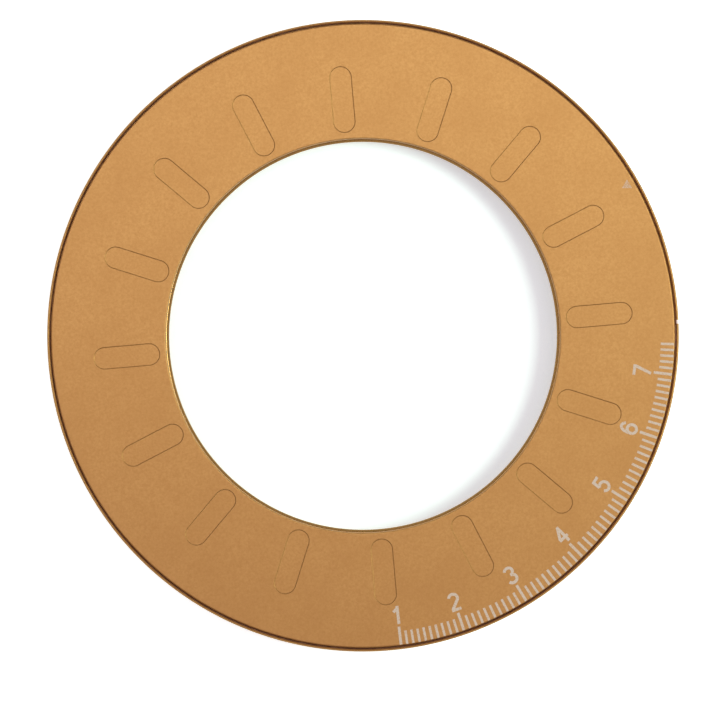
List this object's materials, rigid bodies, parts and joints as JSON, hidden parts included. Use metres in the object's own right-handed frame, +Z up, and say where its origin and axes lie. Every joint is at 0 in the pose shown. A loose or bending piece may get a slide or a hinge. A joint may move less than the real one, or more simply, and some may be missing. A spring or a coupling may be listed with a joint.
{
  "type": "iris circle template",
  "caption": "Flat ring template whose round opening is set by turning its scale ring, which swings thin overlapping leaves in or out like a camera iris.",
  "frame": {"origin": "centre of the ring on its underside", "axes": "+Z up out of the scale ring's face; +X points at 3 o'clock and +Y at 12 o'clock as the scale is read from above with its figure 1 near the bottom"},
  "size_m": [0.125, 0.125, 0.007],
  "materials": {
    "base_gold": "bead-blasted, gold anodised",
    "scale_gold": "bead-blasted, gold anodised, white printed scale",
    "retaining_wire": "dark blued spring wire",
    "leaf_steel": "rolled stainless strip",
    "pin_steel": "bright turned"
  },
  "bodies": {
    "base": {"base_ring": "base_gold", "retaining_ring": "retaining_wire"},
    "scale_ring": {"scale_ring": "scale_gold"},
    "leaf_01": {"leaf_01": "leaf_steel", "pivot_pin_01": "pin_steel", "guide_pin_01": "pin_steel"},
    "leaf_02": {"leaf_02": "leaf_steel", "pivot_pin_02": "pin_steel", "guide_pin_02": "pin_steel"},
    "leaf_03": {"leaf_03": "leaf_steel", "pivot_pin_03": "pin_steel", "guide_pin_03": "pin_steel"},
    "leaf_04": {"leaf_04": "leaf_steel", "pivot_pin_04": "pin_steel", "guide_pin_04": "pin_steel"},
    "leaf_05": {"leaf_05": "leaf_steel", "pivot_pin_05": "pin_steel", "guide_pin_05": "pin_steel"},
    "leaf_06": {"leaf_06": "leaf_steel", "pivot_pin_06": "pin_steel", "guide_pin_06": "pin_steel"},
    "leaf_07": {"leaf_07": "leaf_steel", "pivot_pin_07": "pin_steel", "guide_pin_07": "pin_steel"},
    "leaf_08": {"leaf_08": "leaf_steel", "pivot_pin_08": "pin_steel", "guide_pin_08": "pin_steel"},
    "leaf_09": {"leaf_09": "leaf_steel", "pivot_pin_09": "pin_steel", "guide_pin_09": "pin_steel"},
    "leaf_10": {"leaf_10": "leaf_steel", "pivot_pin_10": "pin_steel", "guide_pin_10": "pin_steel"},
    "leaf_11": {"leaf_11": "leaf_steel", "pivot_pin_11": "pin_steel", "guide_pin_11": "pin_steel"},
    "leaf_12": {"leaf_12": "leaf_steel", "pivot_pin_12": "pin_steel", "guide_pin_12": "pin_steel"},
    "leaf_13": {"leaf_13": "leaf_steel", "pivot_pin_13": "pin_steel", "guide_pin_13": "pin_steel"},
    "leaf_14": {"leaf_14": "leaf_steel", "pivot_pin_14": "pin_steel", "guide_pin_14": "pin_steel"},
    "leaf_15": {"leaf_15": "leaf_steel", "pivot_pin_15": "pin_steel", "guide_pin_15": "pin_steel"},
    "leaf_16": {"leaf_16": "leaf_steel", "pivot_pin_16": "pin_steel", "guide_pin_16": "pin_steel"}
  },
  "joints": [
    {"name": "scale_turn", "type": "hinge", "parent": "base", "child": "scale_ring", "pos_m": [0, 0, 0], "axis": [0, 0, 1], "range_deg": [0, 85.5]},
    {"name": "leaf_01_swing", "type": "hinge", "parent": "base", "child": "leaf_01", "pos_m": [-0.03059, -0.03369, 0.0015], "axis": [0, 0, 1], "range_deg": [0, 44.5]},
    {"name": "leaf_02_swing", "type": "hinge", "parent": "base", "child": "leaf_02", "pos_m": [-0.01537, -0.04283, 0.0015], "axis": [0, 0, 1], "range_deg": [0, 44.5]},
    {"name": "leaf_03_swing", "type": "hinge", "parent": "base", "child": "leaf_03", "pos_m": [0.00219, -0.04545, 0.0015], "axis": [0, 0, 1], "range_deg": [0, 44.5]},
    {"name": "leaf_04_swing", "type": "hinge", "parent": "base", "child": "leaf_04", "pos_m": [0.01942, -0.04115, 0.0015], "axis": [0, 0, 1], "range_deg": [0, 44.5]},
    {"name": "leaf_05_swing", "type": "hinge", "parent": "base", "child": "leaf_05", "pos_m": [0.03369, -0.03059, 0.0015], "axis": [0, 0, 1], "range_deg": [0, 44.5]},
    {"name": "leaf_06_swing", "type": "hinge", "parent": "base", "child": "leaf_06", "pos_m": [0.04283, -0.01537, 0.0015], "axis": [0, 0, 1], "range_deg": [0, 44.5]},
    {"name": "leaf_07_swing", "type": "hinge", "parent": "base", "child": "leaf_07", "pos_m": [0.04545, 0.00219, 0.0015], "axis": [0, 0, 1], "range_deg": [0, 44.5]},
    {"name": "leaf_08_swing", "type": "hinge", "parent": "base", "child": "leaf_08", "pos_m": [0.04115, 0.01942, 0.0015], "axis": [0, 0, 1], "range_deg": [0, 44.5]},
    {"name": "leaf_09_swing", "type": "hinge", "parent": "base", "child": "leaf_09", "pos_m": [0.03059, 0.03369, 0.0015], "axis": [0, 0, 1], "range_deg": [0, 44.5]},
    {"name": "leaf_10_swing", "type": "hinge", "parent": "base", "child": "leaf_10", "pos_m": [0.01537, 0.04283, 0.0015], "axis": [0, 0, 1], "range_deg": [0, 44.5]},
    {"name": "leaf_11_swing", "type": "hinge", "parent": "base", "child": "leaf_11", "pos_m": [-0.00219, 0.04545, 0.0015], "axis": [0, 0, 1], "range_deg": [0, 44.5]},
    {"name": "leaf_12_swing", "type": "hinge", "parent": "base", "child": "leaf_12", "pos_m": [-0.01942, 0.04115, 0.0015], "axis": [0, 0, 1], "range_deg": [0, 44.5]},
    {"name": "leaf_13_swing", "type": "hinge", "parent": "base", "child": "leaf_13", "pos_m": [-0.03369, 0.03059, 0.0015], "axis": [0, 0, 1], "range_deg": [0, 44.5]},
    {"name": "leaf_14_swing", "type": "hinge", "parent": "base", "child": "leaf_14", "pos_m": [-0.04283, 0.01537, 0.0015], "axis": [0, 0, 1], "range_deg": [0, 44.5]},
    {"name": "leaf_15_swing", "type": "hinge", "parent": "base", "child": "leaf_15", "pos_m": [-0.04545, -0.00219, 0.0015], "axis": [0, 0, 1], "range_deg": [0, 44.5]},
    {"name": "leaf_16_swing", "type": "hinge", "parent": "base", "child": "leaf_16", "pos_m": [-0.04115, -0.01942, 0.0015], "axis": [0, 0, 1], "range_deg": [0, 44.5]}
  ],
  "couplings": [
    {"joint": "leaf_01_swing", "follows": "scale_turn", "ratio": 0.51943},
    {"joint": "leaf_02_swing", "follows": "scale_turn", "ratio": 0.51943},
    {"joint": "leaf_03_swing", "follows": "scale_turn", "ratio": 0.51943},
    {"joint": "leaf_04_swing", "follows": "scale_turn", "ratio": 0.51943},
    {"joint": "leaf_05_swing", "follows": "scale_turn", "ratio": 0.51943},
    {"joint": "leaf_06_swing", "follows": "scale_turn", "ratio": 0.51943},
    {"joint": "leaf_07_swing", "follows": "scale_turn", "ratio": 0.51943},
    {"joint": "leaf_08_swing", "follows": "scale_turn", "ratio": 0.51943},
    {"joint": "leaf_09_swing", "follows": "scale_turn", "ratio": 0.51943},
    {"joint": "leaf_10_swing", "follows": "scale_turn", "ratio": 0.51943},
    {"joint": "leaf_11_swing", "follows": "scale_turn", "ratio": 0.51943},
    {"joint": "leaf_12_swing", "follows": "scale_turn", "ratio": 0.51943},
    {"joint": "leaf_13_swing", "follows": "scale_turn", "ratio": 0.51943},
    {"joint": "leaf_14_swing", "follows": "scale_turn", "ratio": 0.51943},
    {"joint": "leaf_15_swing", "follows": "scale_turn", "ratio": 0.51943},
    {"joint": "leaf_16_swing", "follows": "scale_turn", "ratio": 0.51943}
  ]
}
